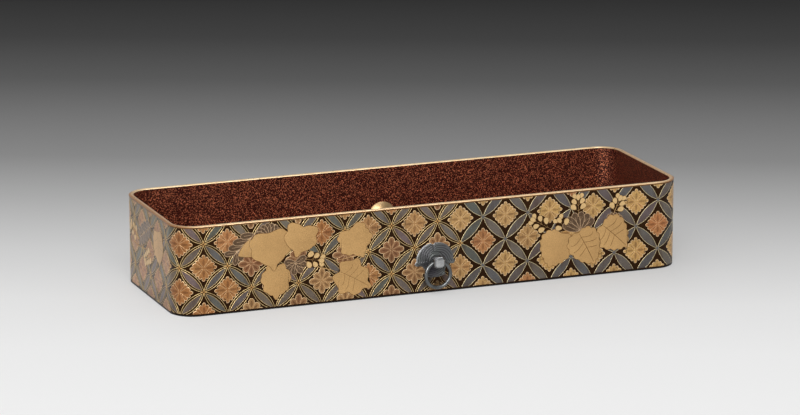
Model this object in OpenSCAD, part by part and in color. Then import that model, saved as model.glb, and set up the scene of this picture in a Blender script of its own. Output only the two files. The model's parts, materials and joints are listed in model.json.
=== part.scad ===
// Long, narrow lacquered letter box with a cord ring on each long side.
// The origin is on the floor under the middle of the box. +Z is up and the front long side faces -Y.
// A thin wooden core (boards, corner posts and a rabbeted bottom) carries the lacquer coats and the rim.
// Each ring hangs in the pierced head of a split pin, whose legs are clinched under a domed cap inside.

/* [Box] */
// Length over the lacquered walls
box_length = 250; // [200:1:320]
// Width over the lacquered walls
box_width = 77.6; // [64:0.2:110]
// Height from the floor to the top of the rim
box_height = 42; // [36:1:70]
// Outer radius of the upright corners
corner_radius = 11.4; // [8:0.2:20]

/* [Wooden core] */
// Thickness of the wall boards and corner posts
board = 1.2; // [1.1:0.1:3]
// Thickness of the bottom board
bottom_thickness = 2.6; // [2:0.1:5]
// Depth of the rabbet that the walls stand in
rabbet_depth = 1; // [0.5:0.1:1.5]
// Length of the half laps between boards and corner posts
lap_length = 4; // [2:0.5:8]

/* [Lacquer and rim] */
// Thickness of the outer coat
outer_coat = 0.4; // [0.2:0.05:0.8]
// Thickness of the lining
lining = 0.3; // [0.2:0.05:0.8]
// Thickness of the coat under the bottom
underside = 0.7; // [0.6:0.05:1.2]
// Rounding of the bottom edge
foot_round = 0.5; // [0.2:0.05:0.55]
// Height of the gold rim
rim_height = 0.5; // [0.5:0.05:1.5]
// How far the rim stands out beyond the outer coat
rim_proud = 0.2; // [0.1:0.05:0.5]
// Rise of the rim's crown from its edges to its middle
rim_crown = 0.4; // [0.1:0.05:0.45]
// Glue line left between all bonded pieces
glue_line = 0.05; // [0.02:0.01:0.1]

/* [Plate] */
// Radius of the plate's two round shoulders
plate_radius = 8.2; // [7:0.1:9]
// Distance of each shoulder's centre from the pin
plate_spread = 1; // [0.2:0.1:1.5]
// Reach of the pointed tip on each side of the pin
plate_tip = 10.1; // [9.5:0.1:12]
// Height of those tips below the pin
tip_drop = 1.4; // [0:0.1:3]
// Thickness of the plate
plate_thickness = 0.8; // [0.5:0.1:1.2]
// Radius of the notch at the top of the plate
notch_radius = 1; // [0.5:0.1:1.5]
// Radius of the scallops that set off the lower lobe
scallop_radius = 3.2; // [1.5:0.1:3.5]
// Turn of those scallops away from straight down
scallop_turn = 56; // [45:1:60]
// Radius of the raised seat round the pin
seat_radius = 3.2; // [2.6:0.1:4.5]
// Height of that seat above the plate
seat_height = 0.4; // [0.2:0.1:0.8]

/* [Split pin] */
// Height of the front pin above the floor
front_pin_height = 15.5; // [14:0.5:26]
// Height of the back pin above the floor
back_pin_height = 18; // [14:0.5:26]
// Place of the back pin along the box, to the right of the middle
back_pin_shift = 3.5; // [-20:0.5:20]
// Width, depth and height of the pierced head
head_size = 5.6; // [4.6:0.1:6]
// Rounding of the head's edges
head_round = 1.7; // [0.8:0.1:2]
// Diameter of the ball that the head's corners are rounded to
head_ball = 7; // [6.4:0.1:8]
// Diameter of the shank that passes through the wall
shank = 2.2; // [1.6:0.1:2.6]
// Clearance round the shank
shank_clearance = 0.1; // [0.05:0.05:0.2]
// Gap between the two legs
leg_split = 0.1; // [0.05:0.05:0.3]
// Inner bend radius of the clinched legs
leg_bend = 0.2; // [0.1:0.05:0.3]

/* [Ring] */
// Outer diameter of the ring
ring_diameter = 13.8; // [12:0.1:18]
// Diameter of its wire
ring_wire = 1.7; // [1.2:0.1:2]
// Distance of the hanging ring from the wall
ring_standoff = 4.3; // [4.2:0.1:6]
// Clearance of the wire in the head
ring_clearance = 0.2; // [0.1:0.05:0.3]

/* [Inner cap] */
// Radius of the domed cap over the clinched legs
cap_radius = 7; // [6:0.1:9]
// How far the cap stands out from the lining
cap_depth = 3; // [2.7:0.1:4]
// Thickness of the cap's metal
cap_metal = 0.5; // [0.3:0.1:0.7]
// Clearance between the cap and the legs
cap_clearance = 0.1; // [0.05:0.05:0.2]

/* [Hidden] */
$fn = 96;

// Overshoot of a cut past the faces it opens
over = 1;

// The wall from the outside in: outer coat, glue, board, glue, lining
core_inset = outer_coat + glue_line;
lining_inset = core_inset + board + glue_line;
wall = lining_inset + lining;
lap = (board - glue_line) / 2;
straight_x = box_length - 2 * corner_radius;
straight_y = box_width - 2 * corner_radius;

// Sides are counted in quarter turns from the front: 0 front, 1 right end, 2 back, 3 left end
function along(side) = side % 2 == 0 ? straight_x : straight_y;
function across(side) = side % 2 == 0 ? straight_y : straight_x;

// Heights from the floor up
bottom_low = underside + glue_line;
rabbet_low = bottom_low + bottom_thickness - rabbet_depth;
floor_top = bottom_low + bottom_thickness;
wall_low = rabbet_low + glue_line;
wall_top = box_height - rim_height - glue_line;
coat_low = underside + glue_line;

// Fitting: the ring's mean radius, and the bore that its wire turns in
ring_radius = (ring_diameter - ring_wire) / 2;
bore_radius = ring_wire / 2 + ring_clearance;
shank_hole = shank / 2 + shank_clearance;
head_back = ring_standoff - head_size / 2;

// Cap: outer and inner spheres about one centre, and how far the legs reach under the inner one
cap_base = wall + glue_line;
cap_sphere = (cap_radius * cap_radius + cap_depth * cap_depth) / (2 * cap_depth);
cap_centre = cap_base + cap_depth - cap_sphere;
cap_hollow = cap_sphere - cap_metal;
leg_axis = shank / 2 + leg_bend;
leg_top = cap_base + leg_axis - leg_split / 2;
leg_room = leg_top + cap_clearance - cap_centre;
leg_reach = sqrt(cap_hollow * cap_hollow - leg_room * leg_room - shank * shank / 4);

// Plan of the box, drawn in by an inset
module outline(inset) {
    radius = corner_radius - inset;
    square([straight_x, box_width - 2 * inset], center = true);
    square([box_length - 2 * inset, straight_y], center = true);
    for (x = [-1, 1], y = [-1, 1])
        translate([x * straight_x / 2, y * straight_y / 2]) circle(radius);
}

// Sweeps a profile round the plan: x runs outward from the corner centres and y runs up
module sweep_round() {
    for (side = [0:3])
        rotate(90 * side) translate([0, -across(side) / 2, 0]) {
            rotate([90, 0, -90]) linear_extrude(along(side), center = true) children();
            translate([along(side) / 2, 0, 0]) rotate(-90) rotate_extrude(angle = 90) children();
        }
}

// Puts a fitting on a long side: x along the wall, -y out of it, origin where the pin meets the coat
module at_front_pin() {
    translate([0, -box_width / 2, front_pin_height]) children();
}

module at_back_pin() {
    translate([back_pin_shift, box_width / 2, back_pin_height]) rotate(180) children();
}

// Holes for both shanks through whatever stands in the walls
module shank_holes() {
    at_front_pin() shank_hole();
    at_back_pin() shank_hole();
}

module shank_hole() {
    translate([0, -over, 0]) rotate([-90, 0, 0]) cylinder(r = shank_hole, h = wall + 2 * over);
}

// Wall board between two corner posts, thinned to its outer half where it laps them
module wall_board(side) {
    half = along(side) / 2 - glue_line;
    outer_face = across(side) / 2 + corner_radius - core_inset;
    difference() {
        rotate(90 * side) translate([0, -outer_face, wall_low]) difference() {
            translate([-half, 0, 0]) cube([2 * half, board, wall_top - wall_low]);
            for (end = [-1, 1])
                translate([end * half, 0, 0])
                    translate([-lap_length, lap, -over])
                        cube([2 * lap_length, board, wall_top - wall_low + 2 * over]);
        }
        shank_holes();
    }
}

// Quarter-round corner post at the right-hand end of a side, with a lap tongue along each wall
module corner_post(side) {
    inner = corner_radius - core_inset - board;
    rotate(90 * side) translate([along(side) / 2, -across(side) / 2, wall_low]) rotate(-90) {
        rotate_extrude(angle = 90) translate([inner, 0]) square([board, wall_top - wall_low]);
        translate([inner, -lap_length, 0]) cube([lap, lap_length, wall_top - wall_low]);
        translate([-lap_length, inner, 0]) cube([lap_length, lap, wall_top - wall_low]);
    }
}

module front_board() {
    color("burlywood") wall_board(0);
}

module back_board() {
    color("burlywood") wall_board(2);
}

module left_board() {
    color("tan") wall_board(3);
}

module right_board() {
    color("tan") wall_board(1);
}

module front_right_corner() {
    color("peru") corner_post(0);
}

module back_right_corner() {
    color("peru") corner_post(1);
}

module back_left_corner() {
    color("peru") corner_post(2);
}

module front_left_corner() {
    color("peru") corner_post(3);
}

// The walls stand in the rabbet round the bottom board
module bottom_board() {
    color("burlywood") {
        translate([0, 0, bottom_low]) linear_extrude(bottom_thickness - rabbet_depth) outline(core_inset);
        translate([0, 0, rabbet_low]) linear_extrude(rabbet_depth) outline(lining_inset);
    }
}

// Flat coat that the box stands on, with a rounded edge
module underside_lacquer() {
    color("black") {
        sweep_round() {
            translate([0, foot_round]) square([corner_radius, underside - foot_round]);
            square([corner_radius - foot_round, underside]);
            intersection() {
                translate([corner_radius - foot_round, foot_round]) circle(foot_round);
                square([corner_radius, underside]);
            }
        }
        translate([-straight_x / 2, -straight_y / 2, 0]) cube([straight_x, straight_y, underside]);
    }
}

module outer_lacquer() {
    color([0.1, 0.07, 0.06]) difference() {
        translate([0, 0, coat_low]) linear_extrude(wall_top - coat_low) difference() {
            outline(0);
            outline(outer_coat);
        }
        shank_holes();
    }
}

// Lacquered tub that lines the walls and the floor
module nashiji_lining() {
    color([0.36, 0.15, 0.1]) difference() {
        translate([0, 0, floor_top + glue_line])
            linear_extrude(wall_top - floor_top - glue_line) outline(lining_inset);
        translate([0, 0, floor_top + glue_line + lining]) linear_extrude(box_height) outline(wall);
        shank_holes();
    }
}

// Rim over the edges of the coats and the core, crowned across its top
module gold_rim() {
    inner = corner_radius - wall;
    width = wall + rim_proud;
    arc = (width * width / 4 + rim_crown * rim_crown) / (2 * rim_crown);
    color([0.93, 0.78, 0.52]) sweep_round() translate([inner, box_height - rim_height]) intersection() {
        square([width, rim_height]);
        translate([width / 2, rim_height - arc]) circle(arc);
    }
}

// Plate outline about the pin: round shoulders, a pointed tip each side, a notch on top and a lower lobe
module plate_outline() {
    tip_root = plate_radius * sin(45);
    difference() {
        union() {
            square([2 * plate_spread, 2 * plate_radius], center = true);
            for (side = [-1, 1]) {
                translate([side * plate_spread, 0]) circle(plate_radius);
                polygon([
                    [side * plate_tip, -tip_drop],
                    [side * tip_root, tip_root - tip_drop],
                    [0, 0],
                    [side * tip_root, -tip_root - tip_drop / 2]
                ]);
            }
        }
        translate([-notch_radius, plate_radius + notch_radius / 4]) circle(notch_radius);
        for (side = [-1, 1])
            rotate(side * scallop_turn)
                translate([0, -plate_radius - scallop_radius / 2]) circle(scallop_radius);
        circle(shank_hole);
    }
}

module plate() {
    color([0.28, 0.29, 0.3]) translate([0, -glue_line, 0]) rotate([90, 0, 0]) {
        linear_extrude(plate_thickness) plate_outline();
        linear_extrude(plate_thickness + seat_height) difference() {
            circle(seat_radius);
            circle(shank_hole);
        }
    }
}

// Square with rounded corners, the shape of the pin's head from each side
module head_square() {
    flat = head_size - 2 * head_round;
    square([head_size, flat], center = true);
    square([flat, head_size], center = true);
    for (x = [-1, 1], y = [-1, 1])
        translate([x * flat / 2, y * flat / 2]) circle(head_round);
}

// Rounded block, pierced along x by a bore that flares as the ring's wire curves away
module pierced_head() {
    difference() {
        intersection() {
            linear_extrude(head_size, center = true) head_square();
            rotate([90, 0, 0]) linear_extrude(head_size, center = true) head_square();
            rotate([0, 90, 0]) linear_extrude(head_size, center = true) head_square();
            sphere(d = head_ball);
        }
        rotate([0, 90, 0]) rotate_extrude() difference() {
            translate([0, -head_size / 2 - over]) square([ring_radius, head_size + 2 * over]);
            translate([bore_radius + ring_radius, 0]) circle(ring_radius);
        }
    }
}

// Half of the split shank, on the side that its leg bends to
module leg_section() {
    intersection() {
        circle(shank / 2);
        translate([-shank / 2, leg_split / 2]) square([shank, shank / 2]);
    }
}

// Leg turned up a quarter round where the shank leaves the wall, then laid along the lining
module clinched_leg() {
    translate([0, cap_base, leg_axis]) {
        rotate([0, -90, 0]) rotate(90) rotate_extrude(angle = 90)
            translate([leg_axis, 0]) rotate(90) leg_section();
        translate([0, leg_axis, 0]) linear_extrude(leg_reach - leg_axis) mirror([0, 1]) leg_section();
    }
}

module split_pin() {
    color("silver") {
        translate([0, -ring_standoff, 0]) pierced_head();
        translate([0, -head_back - head_round, 0]) rotate([-90, 0, 0])
            cylinder(d = shank, h = head_back + head_round + cap_base);
        clinched_leg();
        mirror([0, 0, 1]) clinched_leg();
    }
}

module ring() {
    color("gray") translate([0, -ring_standoff, -ring_radius]) rotate([90, 0, 0])
        rotate_extrude() translate([ring_radius, 0]) circle(d = ring_wire);
}

// Hollow dome bedded on the lining
module inner_cap() {
    color("gold") difference() {
        translate([0, cap_centre, 0]) sphere(cap_sphere);
        translate([0, cap_centre, 0]) sphere(cap_hollow);
        translate([-2 * cap_sphere, cap_base - 4 * cap_sphere, -2 * cap_sphere]) cube(4 * cap_sphere);
    }
}

module front_plate() { at_front_pin() plate(); }
module front_split_pin() { at_front_pin() split_pin(); }
module front_ring() { at_front_pin() ring(); }
module front_inner_cap() { at_front_pin() inner_cap(); }
module back_plate() { at_back_pin() plate(); }
module back_split_pin() { at_back_pin() split_pin(); }
module back_ring() { at_back_pin() ring(); }
module back_inner_cap() { at_back_pin() inner_cap(); }

front_board();
back_board();
left_board();
right_board();
front_left_corner();
front_right_corner();
back_left_corner();
back_right_corner();
bottom_board();
underside_lacquer();
outer_lacquer();
nashiji_lining();
gold_rim();
front_plate();
front_split_pin();
front_ring();
front_inner_cap();
back_plate();
back_split_pin();
back_ring();
back_inner_cap();
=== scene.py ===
# %% [markdown]
# # A lacquered letter box with cord rings
#
# The box is a long, low tray of thin wood under many coats of lacquer. Its outside is black, with a woven
# lattice, small flowers and leaf sprays built up in gold and coloured powders. Its inside is reddish brown
# with gold flakes. The packed solids give every size and place, so this lesson adds only what a solid model
# lacks: the raised decoration, the engraving of the plates, and the finish of every surface.

# %% Load the solids
import json
import math
import random
from collections import namedtuple

import bmesh
import bpy
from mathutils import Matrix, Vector


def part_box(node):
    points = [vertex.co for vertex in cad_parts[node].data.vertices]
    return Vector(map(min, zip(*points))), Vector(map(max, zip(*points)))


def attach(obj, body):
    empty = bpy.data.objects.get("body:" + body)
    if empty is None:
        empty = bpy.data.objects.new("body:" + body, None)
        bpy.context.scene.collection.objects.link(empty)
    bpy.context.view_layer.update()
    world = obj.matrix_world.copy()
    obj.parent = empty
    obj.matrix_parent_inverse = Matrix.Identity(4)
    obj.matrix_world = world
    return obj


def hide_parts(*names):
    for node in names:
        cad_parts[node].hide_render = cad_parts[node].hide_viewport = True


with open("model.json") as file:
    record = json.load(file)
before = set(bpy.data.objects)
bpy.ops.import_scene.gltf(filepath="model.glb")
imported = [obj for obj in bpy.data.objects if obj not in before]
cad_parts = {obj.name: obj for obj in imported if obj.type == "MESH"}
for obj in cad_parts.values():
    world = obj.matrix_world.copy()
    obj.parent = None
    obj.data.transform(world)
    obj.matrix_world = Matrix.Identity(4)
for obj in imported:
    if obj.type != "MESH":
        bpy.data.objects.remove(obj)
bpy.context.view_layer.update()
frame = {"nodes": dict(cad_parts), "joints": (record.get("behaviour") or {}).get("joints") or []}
nodes = frame["nodes"]
MM = 0.001


def in_mm(points):
    return [[round(value / MM, 2) for value in point] for point in points]


# %% [markdown]
# ## The camera
#
# A long lens far away gives the flat perspective of a catalogue photograph. The camera stands to the left of
# the box's middle and looks slightly down on it. It could be aimed by eye, but its turn and tilt were solved
# from the box's own corners, so that every edge falls where it should.

# %% Set up the camera
CAMERA_TURN = math.radians(21.54)
CAMERA_TILT = math.radians(14.205)
CAMERA_PLACE = Vector((-0.6788, -1.7151, 0.4980))
CAMERA_LENS = 183.1
SENSOR_WIDTH = 36

camera_data = bpy.data.cameras.new("camera")
camera_data.sensor_width = SENSOR_WIDTH
camera_data.lens = CAMERA_LENS
camera = bpy.data.objects.new("camera", camera_data)
camera.location = CAMERA_PLACE
camera.rotation_euler = (math.pi / 2 - CAMERA_TILT, 0, -CAMERA_TURN)
scene = bpy.context.scene
scene.collection.objects.link(camera)
scene.camera = camera
scene.view_settings.view_transform = "Standard"
print("camera is", round(CAMERA_PLACE.length, 2), "m from the box")

# %% [markdown]
# ## Writing shaders as expressions
#
# A procedural finish is a graph of small nodes. Linking them one by one hides the idea, so a `Wire` wraps an
# output socket and turns arithmetic into Math nodes. A `Finish` owns one material and adds every other node
# through a single method. Colours are written as they would be read off a paint card and made linear here.

# %% A wire that does arithmetic
class Wire:
    """An output socket whose arithmetic adds Math nodes to its finish."""

    def __init__(self, finish, socket):
        self.finish = finish
        self.socket = socket

    def math(self, operation, first, second):
        return self.finish.node("ShaderNodeMath", {"operation": operation}, {0: first, 1: second})

    def __add__(self, other):
        return self.math("ADD", self, other)

    def __radd__(self, other):
        return self.math("ADD", other, self)

    def __sub__(self, other):
        return self.math("SUBTRACT", self, other)

    def __rsub__(self, other):
        return self.math("SUBTRACT", other, self)

    def __mul__(self, other):
        return self.math("MULTIPLY", self, other)

    def __rmul__(self, other):
        return self.math("MULTIPLY", other, self)

    def __gt__(self, other):
        return self.math("GREATER_THAN", self, other)

    def __lt__(self, other):
        return self.math("LESS_THAN", self, other)


print("a wire adds, subtracts, multiplies and compares, also with a plain number")

# %% A finish and its nodes
NOISE_RANGE = (0.3, 0.7)


class Finish:
    """One material: constants on the shader's sockets, and nodes for what changes over the surface."""

    def __init__(self, name, **constants):
        self.material = bpy.data.materials.new(name)
        self.material.use_nodes = True
        self.tree = self.material.node_tree
        self.shader = self.tree.nodes["Principled BSDF"]
        for socket, value in constants.items():
            self.shader.inputs[socket.replace("_", " ")].default_value = value

    def plug(self, value, socket):
        if isinstance(value, Wire):
            self.tree.links.new(value.socket, socket)
        else:
            socket.default_value = value

    def feed(self, socket, value):
        self.plug(value, self.shader.inputs[socket])

    def node(self, kind, settings=None, inputs=None, output=0):
        made = self.tree.nodes.new(kind)
        for name, value in (settings or {}).items():
            if name == "stops":
                self.set_stops(made.color_ramp, value)
            else:
                setattr(made, name, value)
        for socket, value in (inputs or {}).items():
            self.plug(value, made.inputs[socket])
        return Wire(self, made.outputs[output])

    def set_stops(self, ramp, stops):
        while len(ramp.elements) < len(stops):
            ramp.elements.new(1)
        for element, (place, colour) in zip(ramp.elements, stops):
            element.position = place
            element.color = colour

    def mix(self, factor, first, second):
        return self.node("ShaderNodeMix", {"data_type": "RGBA"}, {0: factor, 6: first, 7: second}, 2)

    def vectors(self, operation, first, second, output="Value"):
        """Vector Math on two vectors, which gives a number unless its Vector output is asked for."""
        return self.node("ShaderNodeVectorMath", {"operation": operation}, {0: first, 1: second}, output)

    def place(self):
        return self.node("ShaderNodeTexCoord", output="Object")

    def normal(self):
        return self.node("ShaderNodeTexCoord", output="Normal")

    def along(self):
        """How far along the box a point lies from its middle."""
        return self.node("ShaderNodeSeparateXYZ", None, {0: self.place()})

    def noise(self, size, detail):
        inputs = {"Vector": self.place(), "Scale": 1 / size, "Detail": detail}
        return self.node("ShaderNodeTexNoise", None, inputs)

    def cells(self, size):
        """A random number for each small cell of space."""
        inputs = {"Vector": self.place(), "Scale": 1 / size}
        colour = self.node("ShaderNodeTexVoronoi", {"feature": "F1"}, inputs, "Color")
        return self.node("ShaderNodeSeparateColor", None, {0: colour})

    def ramp(self, value, *stops):
        return self.node("ShaderNodeValToRGB", {"stops": stops}, {0: value})

    def spread(self, value, low, high, to_low=0.0, to_high=1.0):
        inputs = {0: value, 1: low, 2: high, 3: to_low, 4: to_high}
        return self.node("ShaderNodeMapRange", {"clamp": True}, inputs)

    def uneven(self, size, detail, low, high):
        """A number that drifts from low to high in patches of one size."""
        return self.spread(self.noise(size, detail), *NOISE_RANGE, low, high)

    def mottled(self, size, detail, first, second, reach=NOISE_RANGE):
        """A colour that drifts from the first paint to the second in patches of one size."""
        stops = zip(reach, (paint(*first), paint(*second)))
        return self.ramp(self.noise(size, detail), *stops)

    def bump(self, height, distance, strength):
        inputs = {"Height": height, "Distance": distance, "Strength": strength}
        self.feed("Normal", self.node("ShaderNodeBump", None, inputs))


print("helpers of a finish:", [name for name in vars(Finish) if not name.startswith("_")])

# %% Colours from a paint card
def paint(red, green, blue):
    """Linear colour of a paint card's 0 to 255 values."""
    linear = []
    for value in (red, green, blue):
        share = value / 255
        linear.append(share / 12.92 if share <= 0.04045 else ((share + 0.055) / 1.055) ** 2.4)
    return (*linear, 1.0)


print("paint(128, 128, 128) is", round(paint(128, 128, 128)[0], 3), "in linear light")

# %% [markdown]
# ## The stage
#
# The box stands on a seamless sheet that is almost white in front and falls away to dark grey behind it. The
# fall is painted into the sheet along one direction, because a lamp with that falloff would also darken the
# box. To the camera and in reflections the sheet also glows a little, like a table lit from below, which
# keeps the shadows at the box's foot soft. That glow puts no light on the box. The sheet is the stage and no
# part of the object.

# %% Lay the backdrop sheet
SHEET_HALF = 6.0
FALL_START = -0.25
FALL_END = 0.65
FALL_TURN = math.radians(23.5)
FALL_GREYS = [
    (0.00, 240), (0.13, 236), (0.22, 228), (0.32, 207), (0.43, 174),
    (0.53, 139), (0.63, 120), (0.74, 92), (0.87, 68), (1.00, 53),
]
GLOW = 0.5
NO_LIGHT = (0.0, 0.0, 0.0, 1.0)

sheet = Finish("backdrop_sheet", Roughness=0.9, Specular_IOR_Level=0.0, Emission_Strength=1.0)
away = (math.sin(FALL_TURN), math.cos(FALL_TURN), 0)
fall = sheet.spread(sheet.vectors("DOT_PRODUCT", sheet.place(), away), FALL_START, FALL_END)
tone = sheet.ramp(fall, *[(place, paint(grey, grey, grey)) for place, grey in FALL_GREYS])
seen = sheet.node("ShaderNodeLightPath", output="Is Camera Ray")
mirrored = sheet.node("ShaderNodeLightPath", output="Is Glossy Ray")
glow = GLOW * (seen + mirrored)
sheet.feed("Base Color", sheet.mix(glow, tone, NO_LIGHT))
sheet.feed("Emission Color", sheet.mix(glow, NO_LIGHT, tone))

sheet_mesh = bpy.data.meshes.new("backdrop")
sheet_corners = [(-1, -1), (1, -1), (1, 1), (-1, 1)]
sheet_mesh.from_pydata([(x * SHEET_HALF, y * SHEET_HALF, 0) for x, y in sheet_corners], [], [(0, 1, 2, 3)])
sheet_mesh.materials.append(sheet.material)
backdrop = bpy.data.objects.new("backdrop", sheet_mesh)
scene.collection.objects.link(backdrop)
print("backdrop fades over", FALL_END - FALL_START, "m")

# %% [markdown]
# ## The light
#
# A large box of cloth at the front left gives most of the light, so that the shadow falls behind the box. A
# wider one overhead on the left lights the inside, and a weak one behind the box, kept out of the gloss,
# lights its back. One lamp could not also place the highlights, so three small ones are seen only in the
# gloss: one low on the left draws the bright edges on the metal and on the bend of the lining, one overhead
# on the right runs the bright line along the rim, and a card flat on the floor puts the pale sheen on the
# left end. The world adds a little light from everywhere.

# %% Hang the soft boxes
WORLD_STRENGTH = 0.4
CREAM = (1.0, 0.98, 0.92)


def soft_box(name, place, size, power, aim=(0, 0, 0)):
    """A cloth box of light that faces its aim, with its width and height in metres and power in watts."""
    lamp = bpy.data.lights.new(name, "AREA")
    lamp.shape = "RECTANGLE"
    lamp.size, lamp.size_y = size
    lamp.energy = power
    holder = bpy.data.objects.new(name, lamp)
    holder.location = place
    holder.rotation_euler = (Vector(aim) - Vector(place)).to_track_quat("-Z", "Y").to_euler()
    holder.visible_camera = False
    scene.collection.objects.link(holder)
    return holder


world = bpy.data.worlds.new("studio")
world.use_nodes = True
world.node_tree.nodes["Background"].inputs["Color"].default_value = (1, 1, 1, 1)
world.node_tree.nodes["Background"].inputs["Strength"].default_value = WORLD_STRENGTH
scene.world = world

soft_box("overhead", (-1.0, -0.1, 1.7), (2.0, 1.7), 8)
soft_box("front_left", (-0.55, -1.85, 1.5), (1.3, 1.3), 33)
back_fill = soft_box("behind", (0.2, 1.6, 1.6), (1.2, 1.2), 6)
back_fill.visible_glossy = False
metal_gloss = soft_box("low_left", (-1.25, -1.6, 0.7), (0.5, 0.7), 25)
rim_gloss = soft_box("overhead_right", (0.4, 0.0, 1.8), (0.7, 0.7), 7)
floor_card = soft_box("floor_card", (-0.22, 0.13, 0.002), (0.30, 0.25), 0.09, (-0.22, 0.13, 1))
floor_card.data.color = CREAM
for holder in (metal_gloss, rim_gloss, floor_card):
    holder.visible_diffuse = False

# %% [markdown]
# ## Drawing on the wall
#
# The decoration runs round the rounded corners without a break. Drawn on each side by itself it would tear
# at the corners, so it is drawn flat, as on paper, with x along the wall, z up and -y out of the wall. The
# finished drawing is trimmed to the coat's height, cut into narrow strips where a corner bends it, and then
# every point is wrapped onto the wall.

# %% Measure the wall
SAME_PLACE = 0.01 * MM

coat_low, coat_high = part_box("outer_lacquer")
coat_points = [vert.co for vert in nodes["outer_lacquer"].data.vertices]
end_edge = max(point.y for point in coat_points if point.x > coat_high.x - SAME_PLACE)
straight_y = 2 * end_edge
corner_radius = coat_high.y - end_edge
straight_x = 2 * (coat_high.x - corner_radius)
corner_arc = corner_radius * math.pi / 2
around = 2 * (straight_x + straight_y) + 4 * corner_arc
print("round the wall:", round(around / MM, 2), "mm, corner radius", round(corner_radius / MM, 2), "mm")

# %% Wrap a point onto the wall
def side_length(side):
    """Sides are counted from the front: 0 front, 1 right end, 2 back, 3 left end."""
    return straight_x if side % 2 == 0 else straight_y


def wrap(along, out):
    """Plan position of a point that far along the wall from the front's middle, and that far out of it."""
    rest = (along + straight_x / 2) % around
    for side in range(4):
        turn = side * math.pi / 2
        half = side_length(side) / 2
        across = side_length(side + 1) / 2
        reach = corner_radius + out
        if rest <= 2 * half:
            local = Vector((rest - half, -across - reach))
            break
        rest -= 2 * half
        if rest <= corner_arc:
            angle = rest / corner_radius
            local = Vector((half + reach * math.sin(angle), -across - reach * math.cos(angle)))
            break
        rest -= corner_arc
    return (
        local.x * math.cos(turn) - local.y * math.sin(turn),
        local.x * math.sin(turn) + local.y * math.cos(turn),
    )


corner_starts = [straight_x / 2]
for side in range(1, 4):
    corner_starts.append(corner_starts[-1] + corner_arc + side_length(side))
print("corners start at", [round(start / MM, 1) for start in corner_starts], "mm along the wall")

# %% [markdown]
# ## Raised lacquer
#
# The decoration stands about a tenth of a millimetre proud, built up in layers of lacquer under the powder.
# A bump in the shader could hint at that, but real edges catch the light from every side and stay with the
# model. So a `Relief` collects the flat patches and ridged lines of one finish, and makes one piece of them.

# %% A drawing in relief
REPEATS = 28
COLUMN = around / REPEATS
SUNK = 0.02 * MM
CORNER_STRIPS = 18
BARE_FOOT = 1.2 * MM
SHARP_EDGE = math.radians(35)


def make_piece(name, drawing, finish):
    """Turn a finished drawing into a piece that rides on the box."""
    mesh = bpy.data.meshes.new(name)
    drawing.to_mesh(mesh)
    drawing.free()
    mesh.shade_smooth()
    mesh.set_sharp_from_angle(angle=SHARP_EDGE)
    mesh.materials.append(finish.material)
    piece = bpy.data.objects.new(name, mesh)
    scene.collection.objects.link(piece)
    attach(piece, "box")
    print(name, "has", len(mesh.polygons), "faces")
    return piece


class Relief:
    """Raised work of one finish, drawn flat and then wrapped round the box."""

    def __init__(self, name, finish, slot=None):
        self.name = name
        self.finish = finish
        self.slot = slot
        self.drawing = bmesh.new()
        self.tint = self.drawing.loops.layers.float_color.new("tint")

    def face(self, corners, colours):
        made = self.drawing.faces.new(corners)
        for loop, colour in zip(made.loops, colours):
            loop[self.tint] = colour

    def points(self, outline, out):
        return [self.drawing.verts.new((x, -out, z)) for x, z in outline]

    def patch(self, outline, height, colours):
        """A flat raised area in an anticlockwise outline, in one colour or in one for each point."""
        if not isinstance(colours, list):
            colours = [colours] * len(outline)
        foot = self.points(outline, -SUNK)
        top = self.points(outline, height)
        self.face(top, colours)
        for index in range(len(outline)):
            before = index - 1
            shades = (colours[before], colours[index], colours[index], colours[before])
            self.face((foot[before], foot[index], top[index], top[before]), shades)

    def line(self, path, width, height, colour, closed=False, base=-SUNK, taper=0.0):
        """A raised line with a ridge along its middle. A taper draws its ends fine, like a brush stroke."""
        count = len(path)
        left, right = [], []
        for index, (x, z) in enumerate(path):
            before = path[index - 1] if closed or index else path[index]
            after = path[(index + 1) % count] if closed or index < count - 1 else path[index]
            run = Vector((after[0] - before[0], after[1] - before[1])).normalized()
            half = width / 2 * (1 - taper * (2 * index / (count - 1) - 1) ** 2)
            left.append((x - run.y * half, z + run.x * half))
            right.append((x + run.y * half, z - run.x * half))
        left, right, ridge = self.points(left, base), self.points(right, base), self.points(path, height)
        for index in range(0 if closed else 1, count):
            before = index - 1
            self.face((ridge[before], ridge[index], left[index], left[before]), [colour] * 4)
            self.face((right[before], right[index], ridge[index], ridge[before]), [colour] * 4)

    def trim(self):
        for height, up in ((BARE_FOOT, -1), (coat_high.z, 1)):
            everything = [*self.drawing.verts, *self.drawing.edges, *self.drawing.faces]
            plane = {"plane_co": (0, 0, height), "plane_no": (0, 0, up)}
            bmesh.ops.bisect_plane(self.drawing, geom=everything, clear_outer=True, **plane)

    def cut_strips(self):
        for low in [*corner_starts, *[start - around for start in corner_starts]]:
            high = low + corner_arc
            near = [f for f in self.drawing.faces if low - COLUMN < f.calc_center_median().x < high + COLUMN]
            edges = {edge for f in near for edge in f.edges}
            corners = {vert for f in near for vert in f.verts}
            geometry = [*corners, *edges, *near]
            for strip in range(CORNER_STRIPS + 1):
                place = low + corner_arc * strip / CORNER_STRIPS
                plane = {"plane_co": (place, 0, 0), "plane_no": (1, 0, 0)}
                geometry = bmesh.ops.bisect_plane(self.drawing, geom=geometry, **plane)["geom"]

    def make(self):
        bmesh.ops.triangulate(self.drawing, faces=self.drawing.faces[:])
        self.trim()
        self.cut_strips()
        for vert in self.drawing.verts:
            x, y = wrap(vert.co.x, -vert.co.y)
            vert.co = (x, y, vert.co.z)
        piece = make_piece(self.name, self.drawing, self.finish)


print("the pattern repeats every", round(COLUMN / MM, 2), "mm,", REPEATS, "times round the box")

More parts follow.
